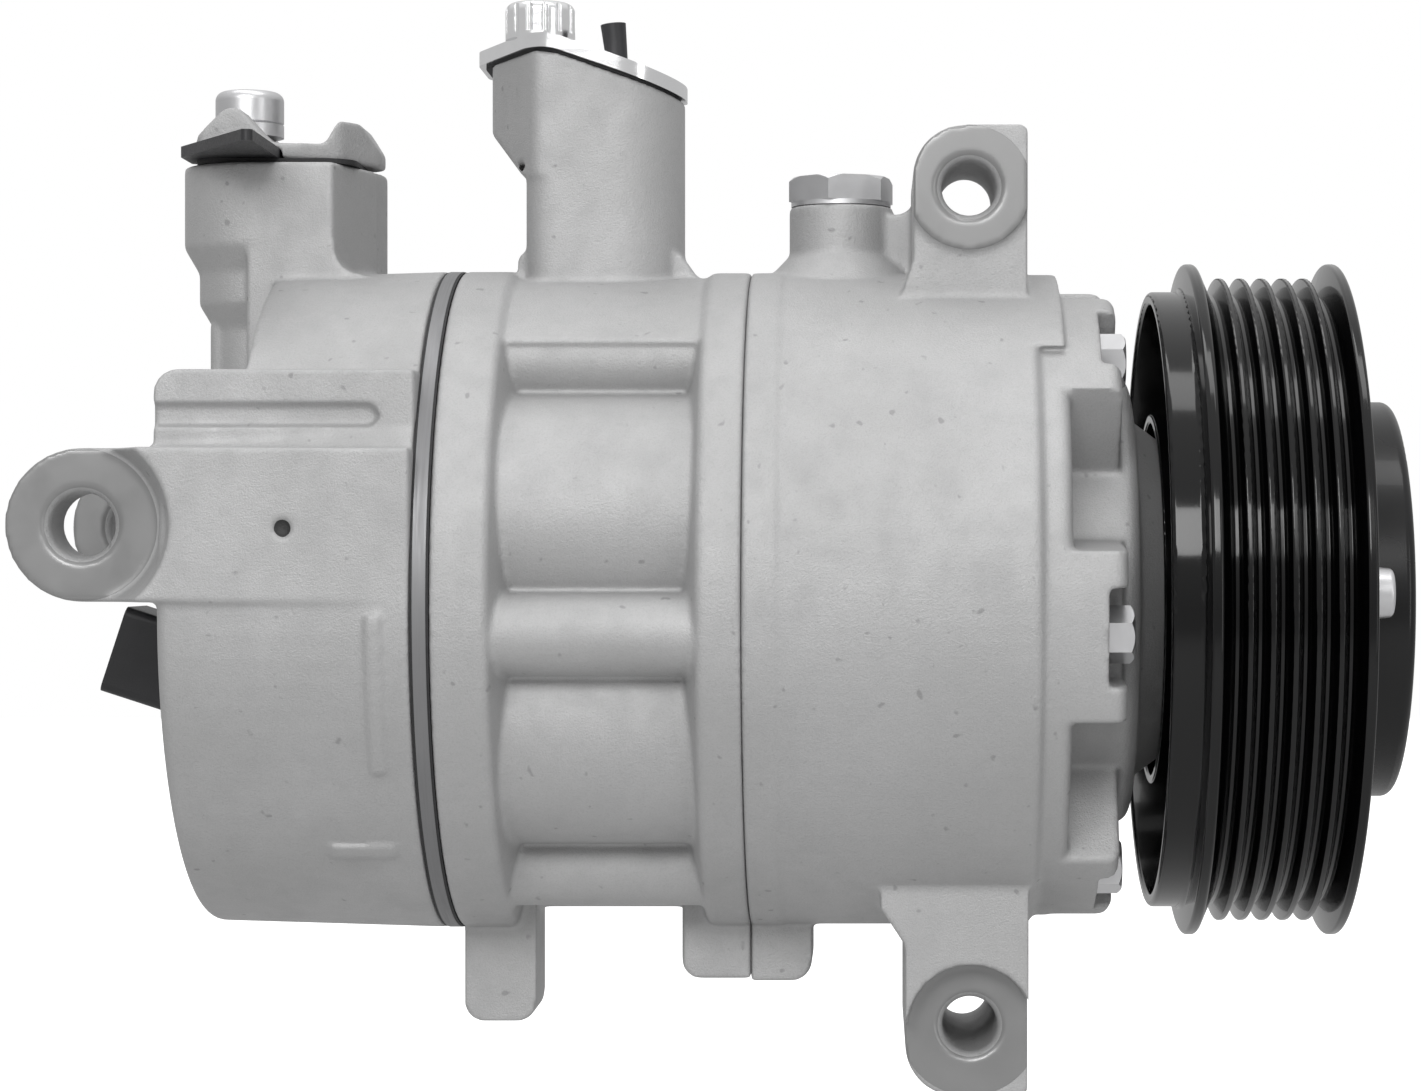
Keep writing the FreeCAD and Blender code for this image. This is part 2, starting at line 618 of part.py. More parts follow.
def oil_plug_washer():
    ring = rod_z(8.5, PLUG_SEAT_Z, PLUG_SEAT_Z + 0.8, PLUG_X, 0)
    return ring.cut(rod_z(PLUG_THREAD_R, PLUG_SEAT_Z - 1, PLUG_SEAT_Z + 2, PLUG_X, 0))


def lid_piece(z0, z1, inset):
    """Piece of the lid stack in its own height band over the tower top."""
    near = -13.6 + inset
    right = -97.5 - inset
    left = -134.3 + inset
    bend = 12.5 - inset
    plan = slab_z([(-123 + inset, near, 6), (right, near, bend), (right, 13.6 - inset, bend),
                   (-113, 13.6 - inset, 5), (-121, 32 - inset, 6), (left, 31 - inset, 6),
                   (left, 10, 8)], 70, 110)
    layer = plan.common(lid_layer(z0, z1))
    return layer.cut(rod_z(KNOB_SHANK_R + 0.03, 70, 110, *KNOB_AT))


def tower_gasket():
    return lid_piece(0, LID_GASKET_T, 1.2)


def tower_cover():
    return lid_piece(LID_GASKET_T, LID_GASKET_T + LID_T, 0)


def cover_knob():
    """Round screw with a fluted grip."""
    seat = TOWER_TOP_Z + LID_GASKET_T + LID_T
    face = rounded_face([(0, seat, 0), (KNOB_R, seat, 0), (KNOB_R, seat + 6.3, 1.6),
                         (0, seat + 6.3, 0)], lambda p: V(p.x, 0, p.y))
    grip = face.revolve(ORIGIN, ALONG_Z, 360)
    flute = rod_z(0.7, seat + 1.0, seat + 8, KNOB_R + 0.25, 0)
    flutes = []
    for k in range(14):
        cut = flute.copy()
        cut.rotate(ORIGIN, ALONG_Z, 360.0 / 14 * k)
        flutes.append(cut)
    knob = fused([grip.cut(flutes), rod_z(KNOB_SHANK_R, 81, seat + 1, 0, 0)])
    knob.translate(V(KNOB_AT[0], KNOB_AT[1], 0))
    return knob


def cover_pin():
    """Small pin that leans back from the slope of the lid."""
    pin = Part.makeCone(PIN_R, PIN_R + 0.45, 8.6, V(0, 0, -1), ALONG_Z)
    pin.rotate(ORIGIN, ALONG_Y, PIN_LEAN)
    pin.translate(V(PIN_AT[0], PIN_AT[1], 89.7))
    return pin.cut(lid_layer(-20, LID_GASKET_T + LID_T))


def port_clamp():
    """Cast clamp plate with a rib at each end and a milled seat for the cap screw."""
    base = PORT_TOP_Z + PORT_SEAL_T
    profile = slab_y([(-179.5, base, 0), (-150.3, base, 0), (-150.3, 76.5, 1), (-153.4, 81.2, 1),
                      (-156.4, 81.2, 0.8), (-158.6, 77.1, 1.2), (-167, 76.9, 2),
                      (-170.6, 81.0, 0.8), (-172.0, 82.5, 0.6), (-174.6, 82.5, 0.6),
                      (-179.5, 77.6, 1)], -20, 20)
    plan = slab_z([(-179.5, -11, 1.5), (-168, -11, 4), (-156, -5, 4), (-150.3, 4, 3),
                   (-150.3, 12, 3), (-179.5, 12, 3)], 70, 90)
    tools = [box(-185, -165.2, -20, -1.2, 70, 76.0),
             rod_z(CAP_R + 0.3, CLAMP_SEAT_Z, 95, *CAP_AT),
             rod_z(CAP_SHANK_R + 0.1, 70, 95, *CAP_AT)]
    return drilled(profile.common(plan), tools)


def port_seal():
    plate = slab_z(rectangle(-180.0, -153.0, -10.8, 14, 5), PORT_TOP_Z, PORT_TOP_Z + PORT_SEAL_T)
    return plate.cut(rod_z(CAP_SHANK_R + 0.1, 70, 90, *CAP_AT))


def port_cap():
    """Cap screw with a round smooth head."""
    face = rounded_face([(0, CLAMP_SEAT_Z, 0), (CAP_R, CLAMP_SEAT_Z, 0), (CAP_R, 81.1, 0),
                         (CAP_R - 0.3, 81.3, 0), (CAP_R, 81.5, 0), (CAP_R, 86.8, 1.6),
                         (0, 86.8, 0)], lambda p: V(p.x, 0, p.y))
    head = face.revolve(ORIGIN, ALONG_Z, 360)
    cap = fused([head, rod_z(CAP_SHANK_R, 64, CLAMP_SEAT_Z + 1, 0, 0)])
    cap.translate(V(CAP_AT[0], CAP_AT[1], 0))
    return cap


def port_tab():
    """Flat pull strip of the port plug, held between the seal and the clamp."""
    return slab_z([(-181.7, -11.8, 1), (-165.5, -38.5, 1), (-165.5, -1.5, 0), (-181.7, -1.5, 1)],
                  PORT_TOP_Z + PORT_SEAL_T, 75.9)


def control_valve():
    """Displacement valve: stepped cylinder with two sealing grooves."""
    valve = ring_x([(HEAD_X, 0, 0), (HEAD_X, 8.95, 0.3), (-172, 8.95, 0), (-172, 8.0, 0),
                    (-170, 8.0, 0), (-170, 8.95, 0), (-164, 8.95, 0), (-164, 7.4, 0),
                    (-159, 7.4, 0.6), (-159, 0, 0)])
    valve.translate(V(0, *VALVE_AT))
    return valve


def in_socket_frame(shape):
    """Move a piece drawn along X from the mouth onto the tilted axis of the socket."""
    shape.rotate(ORIGIN, ALONG_Y, SOCKET_TILT)
    shape.translate(V(SOCKET_MOUTH[0], VALVE_AT[0], SOCKET_MOUTH[1]))
    return shape


def valve_connector():
    """Plug socket with an open mouth, seated on the back of the head."""
    half_y = SOCKET_HALF_Y
    half_z = SOCKET_HALF_Z
    shell = slab_x(rectangle(-half_y, half_y, -half_z, half_z, 1.5), 0, 26)
    wall = SOCKET_WALL
    hollow = slab_x(rectangle(wall - half_y, half_y - wall, wall - half_z, half_z - wall, 0.6), -1, 12)
    socket = in_socket_frame(shell.cut(hollow))
    return socket.cut(box(HEAD_X, -150, -20, 40, -50, 50))


def connector_pins():
    pins = [in_socket_frame(box(7.0, 12.0, y - 0.3, y + 0.3, -1, 1)) for y in (-2.4, 2.4)]
    return Part.makeCompound(pins)


# ---------------------------------------------------------------- shaft line

def retaining_ring(inner, outer, x0, x1):
    """Open ring with its gap at the top."""
    ring = tube_x(outer, inner, x0, x1)
    return ring.cut(box(x0 - 1, x1 + 1, -2.2, 2.2, 0, outer + 1))


def radial_bearing(outer, x0, x1):
    shell = tube_x(outer, outer - 1.2, x0, x1)
    needle = rod_x(1.0, x0 + 1.5, x1 - 1.5, -(SHAFT_R + RUNNING_FIT + 1.0), 0)
    cage = tube_x(outer - 1.25, SHAFT_R + 0.9, x0 + 0.4, x1 - 0.4)
    return fused([shell, cage] + around(needle, 18, 0))


def shaft_seal():
    return ring_x([(SNOUT_X, SHAFT_R + RUNNING_FIT, 0), (SNOUT_X, 13.45, 0), (-1.5, 13.45, 0.5),
                   (-1.5, 11.5, 0), (-8.2, 11.0, 0), (-8.2, 9.6, 0), (-4.0, 9.4, 0),
                   (-5.6, SHAFT_R + RUNNING_FIT, 0)])


def race_groove(x):
    return Part.makeTorus(BALL_CIRCLE_R, BALL_R + RUNNING_FIT, V(x, 0, 0), ALONG_X)


def bearing_ring(outer, inner):
    ring = tube_x(outer, inner, -BEARING_HALF, BEARING_HALF)
    return ring.cut([race_groove(BALL_ROW_X), race_groove(-BALL_ROW_X)])


def bearing_balls():
    balls = []
    for x in (-BALL_ROW_X, BALL_ROW_X):
        ball = Part.makeSphere(BALL_R, V(x, -BALL_CIRCLE_R, 0))
        balls += around(ball, BALLS_PER_ROW, 0 if x < 0 else 180.0 / BALLS_PER_ROW)
    return Part.makeCompound(balls)


def bearing_cage():
    """Two snap cages, one for each row, joined to nothing but the balls they space."""
    cages = []
    for sign in (-1, 1):
        mid = sign * BALL_ROW_X
        cage = tube_x(23.2, 21.8, mid - 3.8, mid + 3.8)
        ball = Part.makeSphere(BALL_R, V(mid, -BALL_CIRCLE_R, 0))
        phase = 0 if sign < 0 else 180.0 / BALLS_PER_ROW
        cages.append(cage.cut(around(ball, BALLS_PER_ROW, phase)))
    return Part.makeCompound(cages)


def bearing_seals():
    rings = []
    for x0 in (-BEARING_HALF + 0.2, BEARING_HALF - 1.0):
        rings.append(tube_x(BEARING_OUTER_IN_R, BEARING_INNER_R + 0.3, x0, x0 + 0.8))
    return Part.makeCompound(rings)


def drive_shaft():
    return ring_x([(SHAFT_REAR_X, 0, 0), (SHAFT_REAR_X, SHAFT_R, 0.8), (SHAFT_HUB_X, SHAFT_R, 0.5),
                   (SHAFT_HUB_X + 0.8, SHAFT_HUB_R, 0), (SHAFT_THREAD_X, SHAFT_HUB_R, 0.3),
                   (SHAFT_THREAD_X, SHAFT_THREAD_R, 0), (SHAFT_END_X, SHAFT_THREAD_R, 0.6),
                   (SHAFT_END_X, 0, 0)])


def lug_plate():
    """Drive plate pressed on the shaft, with the two cheeks of the plate hinge."""
    plate = ring_x([(-50.0, SHAFT_R, 0), (-50.0, 36.0, 3), (-43.0, 38.5, 2), (-43.0, SHAFT_R, 0)])
    cheek = box(-61.5, -49.0, -17.0, -9.2, -6.0, -2.6)
    pair = [cheek, box(-61.5, -49.0, -17.0, -9.2, 2.6, 6.0)]
    weight = tube_x(34.0, 22.0, -51.4, -49.5).common(box(-60, -40, 0, 40, -22, 22))
    return fused([plate, weight] + [turned(part, TDC_ANGLE) for part in pair])


def thrust_bearing():
    races = [tube_x(21.0, 14.5, -42.95, -42.2), tube_x(21.0, 14.5, -40.75, -40.05)]
    roller = Part.makeCylinder(0.73, 4.4, V(-41.47, -20.0, 0), ALONG_Y)
    return fused(races + around(roller, 24, 0))


def pulley():
    """Belt pulley: grooved rim, rear skirt, web with kidney windows and bearing seat."""
    half = GROOVE_COUNT * RIB_PITCH / 2
    floor_r = RIDGE_R - GROOVE_DEPTH
    rim = [(PULLEY_REAR_X, RIM_INNER_R + 1.6, 0.6), (PULLEY_REAR_X, SKIRT_R, 0.8),
           (-13.9, SKIRT_R, 0.8), (-13.3, FLANGE_TIP_R, 0.7), (-11.6, FLANGE_TIP_R, 0.7)]
    for k in range(GROOVE_COUNT):
        centre = -half + RIB_PITCH * (k + 0.5)
        if k > 0:
            ridge = centre - RIB_PITCH / 2
            rim.append((ridge - RIDGE_HALF, RIDGE_R, 0.3))
            rim.append((ridge + RIDGE_HALF, RIDGE_R, 0.3))
        rim.append((centre - FLOOR_HALF, floor_r, 0.2))
        rim.append((centre + FLOOR_HALF, floor_r, 0.2))
    rim += [(10.9, FLANGE_TIP_R, 0.5),
            (PULLEY_FRONT_X, FLANGE_TIP_R, 0.6), (PULLEY_FRONT_X, 49.5, 0.8),
            (WEB_FRONT_X, 47.5, 1.5), (WEB_FRONT_X, SEAT_WALL_R - 2, 0),
            (BEARING_HALF, SEAT_WALL_R - 2, 0), (BEARING_HALF, BEARING_R, 0),
            (-BEARING_HALF, BEARING_R, 0), (-BEARING_HALF, SEAT_LIP_R, 0),
            (SEAT_LIP_X, SEAT_LIP_R, 0.3), (SEAT_LIP_X, SEAT_WALL_R, 0.3),
            (WEB_X, SEAT_WALL_R + 0.5, 2.5), (WEB_X, RIM_INNER_R, 3)]
    body = ring_x(rim)
    window = tube_x(45.0, 36.5, WEB_X - 2, WEB_FRONT_X + 2)
    sector = slab_x([(0, 0, 0), (-60, -60 * math.tan(math.radians(20)), 0),
                     (-60, 60 * math.tan(math.radians(20)), 0)], WEB_X - 3, WEB_FRONT_X + 3)
    window = window.common(sector)
    ends = [rod_x(4.25, WEB_X - 2, WEB_FRONT_X + 2, *polar(40.75, a)) for a in (-20, 20)]
    window = fused([window] + ends)
    tools = around(window, 3, RIVET_PHASE + 60)
    tools += around(rod_x(2.5, WEB_X - 2, WEB_FRONT_X + 2, -RIVET_CIRCLE_R, 0), 3, RIVET_PHASE)
    return drilled(body, tools)


def hub_cup():
    """Pressed cup with three riveted ears; it drives the damper from outside."""
    flange_x = WEB_FRONT_X + 0.05
    cup = ring_x([(flange_x, 28.8, 0), (flange_x, HUB_R + 1.5, 0),
                  (flange_x + HUB_FLANGE_T, HUB_R + 1.5, 0), (flange_x + HUB_FLANGE_T + 1, HUB_R, 1),
                  (HUB_FACE_X, HUB_R, 1.6), (HUB_FACE_X, 29.0, 0.5), (20.4, 29.0, 0),
                  (20.4, 31.6, 0.6), (13.6, 31.6, 0), (13.6, 28.8, 0)])
    ear = slab_x([(-30, -14, 0), (-39, -7, 3), (-46.4, -6.6, 5), (-46.4, 6.6, 5), (-39, 7, 3),
                  (-30, 14, 0)], flange_x, flange_x + HUB_FLANGE_T)
    ear = ear.cut(rod_x(31.7, 0, 30))
    holes = around(rod_x(2.5, 0, 30, -RIVET_CIRCLE_R, 0), 3, RIVET_PHASE)
    return drilled(fused([cup] + around(ear, 3, RIVET_PHASE)), holes)


def damper_rubber():
    return ring_x([(13.8, 22.8, 0.6), (13.8, 31.55, 0.6), (20.3, 31.55, 0.6), (20.3, 22.8, 0.6)])


def hub_boss():
    """Inner hub on the shaft, with the flange that the rubber grips."""
    return ring_x([(-3.4, SHAFT_HUB_R + 0.01, 0), (-3.4, 10.5, 0.5), (12.9, 10.5, 2),
                   (13.4, 20.5, 1), (13.4, 22.75, 0), (20.9, 22.75, 1), (20.9, 19.5, 0.8),
                   (17.4, 17.5, 1), (17.4, 12.5, 1), (11.6, 10.0, 0), (11.6, SHAFT_HUB_R + 0.01, 0)])


def hub_rivets():
    shank = rod_x(2.48, WEB_X - 0.5, 13.3, 0, 0)
    head = ring_x([(13.25, 0, 0), (13.25, RIVET_HEAD_R, 0.4), (16.9, RIVET_HEAD_R - 0.4, 0.8),
                   (16.9, 0, 0)])
    tail = ring_x([(WEB_X - 2.0, 0, 0), (WEB_X - 2.0, 3.6, 1), (WEB_X, 4.0, 0.2), (WEB_X, 0, 0)])
    rivet = fused([shank, head, tail])
    rivet.translate(V(0, -RIVET_CIRCLE_R, 0))
    return Part.makeCompound(around(rivet, 3, RIVET_PHASE))


def hub_nut():
    nut = hex_x(15.0, 11.65, 18.4, 0, 0, 10.0)
    return nut.cut(rod_x(SHAFT_THREAD_R + 0.01, 10, 20))


# ---------------------------------------------------------------- pumping parts

def swash_plate():
    """Round plate with an arm that points at the drive plate on the top-dead-centre side."""
    disc = ring_x([(PLATE_X - PLATE_T / 2, PLATE_HOLE_R, 0.5), (PLATE_X - PLATE_T / 2, PLATE_R, 0.8),
                   (PLATE_X + PLATE_T / 2, PLATE_R, 0.8), (PLATE_X + PLATE_T / 2, PLATE_HOLE_R, 0.5)])
    arm = slab_y([(PLATE_X, 11.2, 0), (PLATE_X + 11.5, 11.2, 1), (PLATE_X + 11.5, 14.2, 1),
                  (PLATE_X, 14.2, 0)], -2.2, 2.2)
    pin = rod_y(1.3, -5.2, 5.2, PLATE_X + 9.8, 12.7)
    arm = turned(fused([arm, pin]), TDC_ANGLE - 90)
    return fused([disc, arm])


def piston(angle):
    """Single-headed piston: ringed head, hollow waist and a yoke round the edge of the plate."""
    offset = CYLINDER_CIRCLE_R
    head = ring_x([(CROWN_X, 0, 0), (CROWN_X, PISTON_R, 0.5), (CROWN_X + 4.0, PISTON_R, 0),
                   (CROWN_X + 4.0, PISTON_R - 0.8, 0), (CROWN_X + 5.6, PISTON_R - 0.8, 0),
                   (CROWN_X + 5.6, PISTON_R, 0), (CROWN_X + PISTON_HEAD_LENGTH, PISTON_R, 0.5),
                   (CROWN_X + PISTON_HEAD_LENGTH, 0, 0)])
    yoke = rod_x(PISTON_R, CROWN_X + PISTON_HEAD_LENGTH - 1, PLATE_X + YOKE_ARM_X)
    waist = rod_x(PISTON_R + 1, CROWN_X + PISTON_HEAD_LENGTH + 2, PLATE_X - YOKE_ARM_X)
    waist = waist.common(box(-140, -60, 1.5, 20, -20, 20))
    half = YOKE_SLOT_HALF
    wide = YOKE_SLOT_HALF + YOKE_FLARE
    slot = ring_x([(PLATE_X - half, 0, 0), (PLATE_X - half, 7.6, 0), (PLATE_X - wide, 15.5, 0),
                   (PLATE_X - wide, 20, 0), (PLATE_X + wide, 20, 0), (PLATE_X + wide, 15.5, 0),
                   (PLATE_X + half, 7.6, 0), (PLATE_X + half, 0, 0)])
    body = fused([head, yoke.cut(waist)])
    body.translate(V(0, -offset, 0))
    slot.translate(V(0, -offset, 0))
    slot = slot.common(rod_x(YOKE_BRIDGE_R, PLATE_X - 20, PLATE_X + 20))
    socket = Part.makeSphere(SHOE_BALL_R + SOCKET_GAP, V(PLATE_X, -offset, 0))
    socket = socket.common(rod_x(YOKE_BRIDGE_R, PLATE_X - 20, PLATE_X + 20))
    return turned(drilled(body, [slot, socket]), angle)


def shoes(angle):
    """The two half-ball shoes that slide on the faces of the plate."""
    ball = Part.makeSphere(SHOE_BALL_R, V(PLATE_X, -CYLINDER_CIRCLE_R, 0))
    half = PLATE_T / 2 + SHOE_GAP
    ball = ball.common(rod_x(7.4, PLATE_X - 12, PLATE_X + 12, -CYLINDER_CIRCLE_R, 0))
    halves = [ball.common(box(PLATE_X + half, PLATE_X + 20, -60, 0, -20, 20)),
              ball.common(box(PLATE_X - 20, PLATE_X - half, -60, 0, -20, 20))]
    return Part.makeCompound([turned(part, angle) for part in halves])


def all_parts():
    parts = {
        "front_housing": front_housing(),
        "cylinder_block": cylinder_block(),
        "muffler_tower": muffler_tower(),
        "rear_head": rear_head(),
        "valve_plate": valve_plate(),
        "suction_valve_disc": suction_valve_disc(),
        "front_gasket": front_gasket(),
        "rear_gasket": rear_gasket(),
        "discharge_reed": petals(-137.55, -137.25, 24.5, 3.6),
        "reed_retainer": petals(-139.4, -137.6, 23.5, 3.4),
        "reed_rivet": reed_rivet(),
        "through_bolts": through_bolts(),
        "oil_plug": oil_plug(),
        "oil_plug_washer": oil_plug_washer(),
        "tower_gasket": tower_gasket(),
        "tower_cover": tower_cover(),
        "cover_knob": cover_knob(),
        "cover_pin": cover_pin(),
        "port_seal": port_seal(),
        "port_clamp": port_clamp(),
        "port_cap": port_cap(),
        "port_tab": port_tab(),
        "control_valve": control_valve(),
        "valve_connector": valve_connector(),
        "connector_pins": connector_pins(),
        "front_radial_bearing": radial_bearing(13.0, -39.5, -25.5),
        "rear_radial_bearing": radial_bearing(12.0, -127.0, -109.0),
        "shaft_seal": shaft_seal(),
        "bearing_inner_ring": bearing_ring(BEARING_INNER_R, SNOUT_R),
        "bearing_retaining_ring": retaining_ring(SNOUT_R - 1.1, SNOUT_R + 2.2, 10.2, 11.4),
        "bearing_outer_ring": bearing_ring(BEARING_R, BEARING_OUTER_IN_R),
        "bearing_balls": bearing_balls(),
        "bearing_cage": bearing_cage(),
        "bearing_seals": bearing_seals(),
        "pulley": pulley(),
        "hub_cup": hub_cup(),
        "damper_rubber": damper_rubber(),
        "hub_boss": hub_boss(),
        "hub_rivets": hub_rivets(),
        "hub_nut": hub_nut(),
        "drive_shaft": drive_shaft(),
        "lug_plate": lug_plate(),
        "thrust_bearing": thrust_bearing(),
        "swash_plate": swash_plate(),
    }
    for k, angle in enumerate(cylinder_angles(), start=1):
        parts[f"piston_{k}"] = piston(angle)
        parts[f"shoes_{k}"] = shoes(angle)
    return parts


os.makedirs("parts", exist_ok=True)
for name, shape in all_parts().items():
    shape.exportStep(f"parts/{name}.step")
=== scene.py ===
"""Looks of the air-conditioning compressor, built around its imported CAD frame.

The shaft lies along X with the nose towards +X, and Z is up. Lengths are in metres, except where a name or
a comment says millimetres.
"""
import json
import math

import bmesh
import bpy
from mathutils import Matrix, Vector


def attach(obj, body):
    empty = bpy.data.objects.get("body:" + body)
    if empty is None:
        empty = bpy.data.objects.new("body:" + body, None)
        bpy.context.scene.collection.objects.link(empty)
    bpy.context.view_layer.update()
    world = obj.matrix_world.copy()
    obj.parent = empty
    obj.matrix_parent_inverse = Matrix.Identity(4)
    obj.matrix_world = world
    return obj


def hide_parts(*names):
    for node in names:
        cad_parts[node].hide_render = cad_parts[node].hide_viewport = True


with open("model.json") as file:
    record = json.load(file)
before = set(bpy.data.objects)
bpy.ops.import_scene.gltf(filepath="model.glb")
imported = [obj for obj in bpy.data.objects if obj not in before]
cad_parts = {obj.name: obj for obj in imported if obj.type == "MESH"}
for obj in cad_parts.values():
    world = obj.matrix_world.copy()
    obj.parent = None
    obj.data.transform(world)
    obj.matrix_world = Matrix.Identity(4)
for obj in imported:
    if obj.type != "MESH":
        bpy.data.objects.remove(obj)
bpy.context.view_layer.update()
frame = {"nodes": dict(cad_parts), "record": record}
NODES = frame["nodes"]
SLOT_OF = {row["node"]: row["material_slot"] for row in frame["record"]["subparts"]}
MOUNTS = {mount["name"]: mount for mount in frame["record"]["mounts"]}
MM = 0.001


def put_in_scene(name, data):
    """New object that shows some data."""
    obj = bpy.data.objects.new(name, data)
    bpy.context.scene.collection.objects.link(obj)
    return obj


# ------------------------------------------------------------------ camera
CAMERA_AT = (-0.0663, -0.5885, 0.00695)
SENSOR_MM = 36.0
LENS_MM = 87.226
SHIFT = (-0.112034, 0.009008)

camera_data = bpy.data.cameras.new("camera")
camera_data.sensor_width = SENSOR_MM
camera_data.lens = LENS_MM
camera_data.shift_x, camera_data.shift_y = SHIFT
camera_data.clip_start = 0.01
camera_data.clip_end = 20
camera = put_in_scene("camera", camera_data)
camera.location = CAMERA_AT
camera.rotation_euler = (math.radians(90), 0, 0)
bpy.context.scene.camera = camera


# ------------------------------------------------------------------ node helpers
# The owner is whatever has the node tree: a material or the world.
NOISE_SPAN = (0.3, 0.7)  # the middle of a noise, where nearly all its values lie


def add(owner, kind, **settings):
    """New node; a setting is one of its inputs, or else one of its properties."""
    node = owner.node_tree.nodes.new(kind)
    for key, value in settings.items():
        if key in node.inputs:
            node.inputs[key].default_value = value
        else:
            setattr(node, key, value)
    return node


def feed(owner, socket, value):
    """Gives a socket a number, a colour or another node's output."""
    if isinstance(value, tuple):
        socket.default_value = (*value, 1)
    elif isinstance(value, (int, float)):
        socket.default_value = value
    else:
        owner.node_tree.links.new(value, socket)


def math_node(owner, operation, *values):
    node = add(owner, "ShaderNodeMath", operation=operation)
    for socket, value in zip(node.inputs, values):
        feed(owner, socket, value)
    return node.outputs[0]


def spread(owner, fac, low, high, span=NOISE_SPAN):
    """Maps the values within span to low..high, and holds them there beyond it."""
    node = add(owner, "ShaderNodeMapRange")
    feed(owner, node.inputs["Value"], fac)
    for key, value in (("From Min", span[0]), ("From Max", span[1]), ("To Min", low), ("To Max", high)):
        node.inputs[key].default_value = value
    return node.outputs[0]


def object_coords(owner, scale=(1, 1, 1)):
    mapping = add(owner, "ShaderNodeMapping", Scale=scale)
    feed(owner, mapping.inputs["Vector"], add(owner, "ShaderNodeTexCoord").outputs["Object"])
    return mapping.outputs[0]


def noise(owner, where, scale, detail=3.0, rough=0.55):
    node = add(owner, "ShaderNodeTexNoise", Scale=scale, Detail=detail, Roughness=rough)
    feed(owner, node.inputs["Vector"], where)
    return node.outputs["Fac"]


def two_tone(owner, fac, dark, light):
    """Colour that goes from dark to light with a noise."""
    node = add(owner, "ShaderNodeValToRGB")
    feed(owner, node.inputs[0], fac)
    for element, position, colour in zip(node.color_ramp.elements, NOISE_SPAN, (dark, light)):
        element.position = position
        element.color = (*colour, 1)
    return node.outputs[0]


def mixed(owner, fac, under, over):
    """Lays one colour over another by fac."""
    node = add(owner, "ShaderNodeMix", data_type="RGBA")
    factor_socket, under_socket, over_socket = node.inputs[0], node.inputs[6], node.inputs[7]
    feed(owner, factor_socket, fac)
    feed(owner, under_socket, under)
    feed(owner, over_socket, over)
    return node.outputs[2]


def bump(owner, shader, *layers):
    """Stack of bumps, each (height output, strength, distance)."""
    normal = None
    for height, strength, distance in layers:
        node = add(owner, "ShaderNodeBump", Strength=strength, Distance=distance)
        feed(owner, node.inputs["Height"], height)
        if normal is not None:
            feed(owner, node.inputs["Normal"], normal)
        normal = node.outputs[0]
    feed(owner, shader.inputs["Normal"], normal)


def scaled(colour, factor, blue=1.0):
    """A colour made lighter or darker, and bluer."""
    red, green, plain_blue = (channel * factor for channel in colour)
    return red, green, plain_blue * blue


# ------------------------------------------------------------------ materials
MATERIALS = {}


def new_material(name):
    """Material with nothing but a Principled shader, and that shader."""
    mat = MATERIALS[name] = bpy.data.materials.new(name)
    mat.use_nodes = True
    mat.node_tree.nodes.clear()
    out = add(mat, "ShaderNodeOutputMaterial")
    shader = add(mat, "ShaderNodeBsdfPrincipled")
    feed(mat, out.inputs[0], shader.outputs[0])
    return mat, shader


CAST_GREY = (0.45, 0.45, 0.45)
# painted shade: near black colour laid on the floor of a pit in the rear head, standing for the pit's
# shadow
PIT_SHADE_GREY = (0.05, 0.05, 0.05)
BORE_EDGE_MM = 1.2  # from the end of a bore's round wall to the face of its lug
DISC_REACH_MM = 0.4  # how far off its plane a disc's colour still shows
SEAT_RADIUS_MM = {"upper_lug": 10.2, "lower_lug": 11.6, "rear_lug": 12.0, "rear_lug_inner": 11.3}
PIT_SHADE_MM = ((-157.3, 11.6), 1.7, -54.8)  # (X, Z) centre, radius and Y of the floor of a shallow pit in the rear head, where near black is painted as the pit's shade


def lug_seat(name):
    """Milled seat round the front end of a lug's bore: its (X, Z) centre, radius and Y, in millimetres."""
    x, y, z = (at / MM for at in MOUNTS[name]["pos_m"])
    face_y = y - MOUNTS[name]["dims"]["length_mm"] / 2 - BORE_EDGE_MM
    return (x, z), SEAT_RADIUS_MM[name], face_y


def disc_mask(mat, centre, radius, face_y):
    """One on a disc that lies square to Y, nought elsewhere; lengths in millimetres."""
    axes = add(mat, "ShaderNodeSeparateXYZ")
    feed(mat, axes.inputs[0], object_coords(mat, (1 / MM, 1 / MM, 1 / MM)))
    x = math_node(mat, "SUBTRACT", axes.outputs["X"], centre[0])
    z = math_node(mat, "SUBTRACT", axes.outputs["Z"], centre[1])
    square = math_node(mat, "ADD", math_node(mat, "MULTIPLY", x, x), math_node(mat, "MULTIPLY", z, z))
    inside = math_node(mat, "LESS_THAN", square, radius * radius)
    on_plane = math_node(mat, "COMPARE", axes.outputs["Y"], face_y, DISC_REACH_MM)
    return math_node(mat, "MULTIPLY", inside, on_plane)


